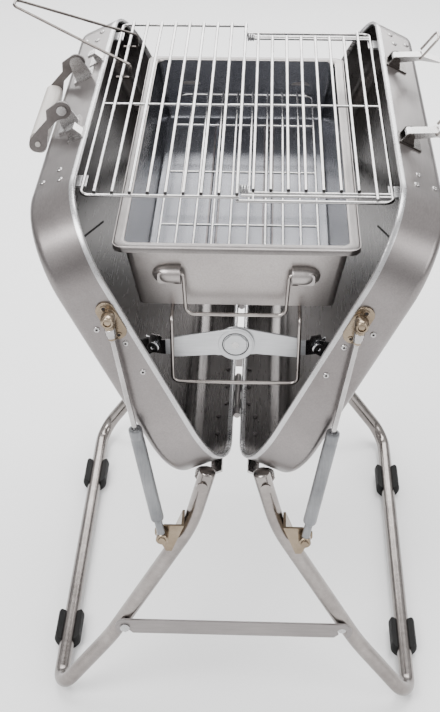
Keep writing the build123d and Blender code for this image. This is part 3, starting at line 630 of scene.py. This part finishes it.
# two ribs pressed along the floor, each with thin dark strips along its edges: painted shade in the creases
ribs, creases = [], []
SECTION = ((-6, 0), (-4.6, 0.2), (-3.8, 1.2), (-2.6, 1.7), (0, 1.8), (2.6, 1.7), (3.8, 1.2), (4.6, 0.2), (6, 0))
for x0 in (-32, 32):
    verts, faces = [], []
    rows = [-222, -219, -215, -209] + [-195 + 30 * k for k in range(14)] + [209, 215, 219, 222]
    for y in rows:
        rise = min(1.0, (222 - abs(y)) / 13) ** 0.6
        verts += [at(x0 + x * (0.5 + 0.5 * rise), y, 573.35 + z * rise) for x, z in SECTION]
    n = len(SECTION)
    for r in range(len(rows) - 1):
        faces += [(r * n + k, r * n + k + 1, (r + 1) * n + k + 1, (r + 1) * n + k) for k in range(n - 1)]
    ribs.append((verts, faces))
    for s in (-1, 1):
        x = x0 + s * 5.6
        quad = [at(x - 0.9, -217, 573.34), at(x + 0.9, -217, 573.34), at(x + 0.9, 217, 573.34), at(x - 0.9, 217, 573.34)]
        creases.append(prism(quad, Vector((0, 0, 0.22 * MM))))
v, f = merge(ribs)
piece("pan_ribs", v, f, M_PAN_INSIDE_SHADE, "pan", smooth=60)
v, f = merge(creases)
piece("pan_creases", v, f, M_SHADED_METAL, "pan")
# pan rim: folded bright edge
prof = [(9.75, 644.2), (9.9, 648.6), (9.2, 650.0), (7.6, 650.4), (2.0, 650.3), (-0.4, 649.8), (-1.4, 648.0)]
v, f = loft([[at(x, y, z) for x, y in round_rect(117 + o, -244 - o, 244 + o, 12, 12, 8)] for o, z in prof])
piece("pan_rim", v, f, M_PAN_RIM, "pan", smooth=50)

for place, e in (("front", -1), ("rear", 1)):
    domes, mouths = [], []
    for s in (-1, 1):
        # pressed half-dome louvre, open towards the middle, round the bail's end
        nx, nz = 18, 14
        verts, faces = [], []
        for i in range(nx + 1):
            for j in range(nz + 1):
                p, q = i / nx, -1 + 2 * j / nz
                x = 57.5 + 29.5 * p
                if p < 0.42:
                    fade = 1.0
                else:
                    fade = sqrt(max(0.0, 1 - ((p - 0.42) / 0.58) ** 2))
                half = 11.5 * max(fade, 0.03)
                z = 612 + q * half
                lift = 11.8 * fade * max(0.0, 1 - abs(q) ** 2.6) ** 0.62
                wall = 234 + 10 * (z - FLOOR) / (TOP - FLOOR)
                verts.append(at(s * x, e * (wall - 0.3 + lift), z))
        for i in range(nx):
            for j in range(nz):
                k = i * (nz + 1) + j
                faces.append((k, k + 1, k + nz + 2, k + nz + 1))
        domes.append((verts, faces))
        # dark sheet across each louvre's opening: painted shade
        mouth = [verts[j] + Vector((s * 0.3 * MM, 0, 0)) for j in range(nz + 1)]
        mouths.append((mouth, [tuple(range(len(mouth)))]))
    v, f = merge(domes)
    ob = piece("pan_louvres_" + place, v, f, M_PAN, "pan", smooth=60)
    sol = ob.modifiers.new("thick", "SOLIDIFY")
    sol.thickness = 0.9 * MM
    sol.offset = 0
    v, f = merge(mouths)
    piece("louvre_mouths_" + place, v, f, M_PAINTED_SHADE, "pan")
    for name, half, radii, mat in (
            ("bail", [(-67, 245, 615), (-55, 245, 615), (-52, 250.5, 569.5)], (4, 9, 9, 4), M_WIRE_DULL),
            ("cradle", [(-67, 190, 569.5), (-67, 259.8, 569.5), (-67, 259.8, 489.5)], (7, 8, 8, 7), M_WIRE_DULL)):
        pts = [at(x, e * y, z) for x, y, z in half] + [at(-x, e * y, z) for x, y, z in reversed(half)]
        v, f = tube_mesh(bend(pts, radii, 10), 2.0, 20)
        piece("%s_wire_%s" % (name, place), v, f, mat, "bail_" + place if name == "bail" else "pan",
              ("pan_%s_%s" % (name, place),), smooth=60)

# ------------------------------------------------------------ grate
paint("grate_left_half", M_WIRE)
paint("grate_right_half", M_WIRE)
paint("grate_lift_handle", M_WIRE_DARK)
GRATE_Z = 699.3
# dark caps on the grate bar ends, in the shade material: painted shade
for half, bars, y_end, z, body in (("left", [-144 + 18 * n for n in range(8)] + [0], 235, GRATE_Z + 3.3, "grate"),
                                   ("right", [16 + 18 * n for n in range(7)], 211, GRATE_Z - 4.1, "grate_slider")):
    v, f = merge([lathe(at(x, s * y_end, z), (0, s, 0), [(1.75, -0.5), (1.75, 0.25), (1.45, 0.45), (0, 0.45)], 14)
                  for x in bars for s in (-1, 1)])
    piece("bar_ends_" + half, v, f, M_PAINTED_SHADE, body)
coils = []
for s in (-1, 1):
    turn = [at(2 + 0.55 * k / 3, s * 208.5 + 3.7 * sin(2 * pi * k / 16), GRATE_Z - 4.6 + 3.7 * cos(2 * pi * k / 16))
            for k in range(49)]
    coils.append(tube_mesh(turn, 1.2, 12))
v, f = merge(coils)
piece("grate_coils", v, f, M_RIM, "grate_slider", smooth=60)

# ------------------------------------------------------------ carry handle, latches, strikes
paint("handle_arms", M_GUN)
paint("handle_bases", M_PLATED)
paint("latch_bases", M_WIRE_DARK)
paint("latch_strikes", M_PLATED)
for e, place in ENDS:
    paint("latch_lever_" + place, M_PLATED)
    paint("latch_hook_" + place, M_WIRE_DULL)
paint("handle_grip", M_GRIP)

# ------------------------------------------------------------ floor, world, lights, camera
m, nt, b = mat_new("m_floor")
v = coords(nt, (1, 1, 1))
nt.links.new(ramp(nt, noise(nt, v, 3.0, 2.0), [(0.3, (0.80, 0.80, 0.80)), (0.7, (0.83, 0.83, 0.83))]),
             b.inputs["Base Color"])
b.inputs["Roughness"].default_value = 0.9
b.inputs["Specular IOR Level"].default_value = 0.1
b.inputs["Emission Color"].default_value = (1, 1, 1, 1)
b.inputs["Emission Strength"].default_value = 0.12
me = bpy.data.meshes.new("floor")
me.from_pydata([(-12, -8, 0), (12, -8, 0), (12, 16, 0), (-12, 16, 0)], [], [(0, 1, 2, 3)])
floor = bpy.data.objects.new("floor", me)
bpy.context.scene.collection.objects.link(floor)
me.materials.append(m)

world = bpy.data.worlds.new("studio")
bpy.context.scene.world = world
world.use_nodes = True
wn = world.node_tree
for n in list(wn.nodes):
    wn.nodes.remove(n)
tc = wn.nodes.new("ShaderNodeTexCoord")
sep = wn.nodes.new("ShaderNodeSeparateXYZ")
wn.links.new(tc.outputs["Generated"], sep.inputs["Vector"])
wr = wn.nodes.new("ShaderNodeValToRGB")
wr.color_ramp.elements[0].position = 0.0
wr.color_ramp.elements[0].color = (0.30, 0.30, 0.31, 1)
wr.color_ramp.elements[1].position = 1.0
wr.color_ramp.elements[1].color = (0.8, 0.8, 0.81, 1)
for p, c in ((0.14, 0.4), (0.3, 1.15), (0.7, 0.95)):
    e = wr.color_ramp.elements.new(p)
    e.color = (c, c, c * 1.01, 1)
wn.links.new(sep.outputs["Z"], wr.inputs["Fac"])
bg = wn.nodes.new("ShaderNodeBackground")
bg.inputs["Strength"].default_value = 0.95
wn.links.new(wr.outputs["Color"], bg.inputs["Color"])
wo = wn.nodes.new("ShaderNodeOutputWorld")
wn.links.new(bg.outputs["Background"], wo.inputs["Surface"])


def area(name, loc, target, size, size_y, power, colour=(1, 1, 1)):
    la = bpy.data.lights.new(name, "AREA")
    la.shape = "RECTANGLE"
    la.size, la.size_y, la.energy, la.color = size, size_y, power, colour
    ob = bpy.data.objects.new(name, la)
    ob.location = loc
    ob.rotation_euler = (Vector(target) - Vector(loc)).to_track_quat("-Z", "Y").to_euler()
    bpy.context.scene.collection.objects.link(ob)
    return ob


area("key", (-1.2, -1.6, 2.6), (0, 0, 0.4), 1.5, 1.2, 85)
area("fill", (1.9, -1.4, 1.6), (0, 0, 0.45), 1.2, 1.2, 24)
area("top", (0.1, 0.5, 2.9), (0, 0, 0.5), 2.2, 1.6, 120)
area("back", (0.0, 2.4, 1.5), (0, 0, 0.5), 2.6, 1.0, 60)
area("front_low", (0.0, -2.6, 0.7), (0, 0, 0.4), 1.8, 0.9, 3)

pitch, yaw, roll = radians(35.04), radians(2.2), radians(-0.17)
fwd = Vector((-sin(yaw) * cos(pitch), cos(yaw) * cos(pitch), -sin(pitch)))
right = Vector((cos(yaw), sin(yaw), 0))
upv = right.cross(fwd)
r2 = right * cos(roll) + upv * sin(roll)
u2 = -right * sin(roll) + upv * cos(roll)
cam_data = bpy.data.cameras.new("camera")
cam = bpy.data.objects.new("camera", cam_data)
cam.matrix_world = Matrix.Translation(at(28.2, -1459.2, 1340.5)) @ Matrix((r2, u2, -fwd)).transposed().to_4x4()
cam_data.lens = 69.09
cam_data.sensor_width = 36
cam_data.shift_x = 0.002
cam_data.shift_y = 0.0263
cam_data.clip_start, cam_data.clip_end = 0.05, 60
bpy.context.scene.collection.objects.link(cam)
bpy.context.scene.camera = cam
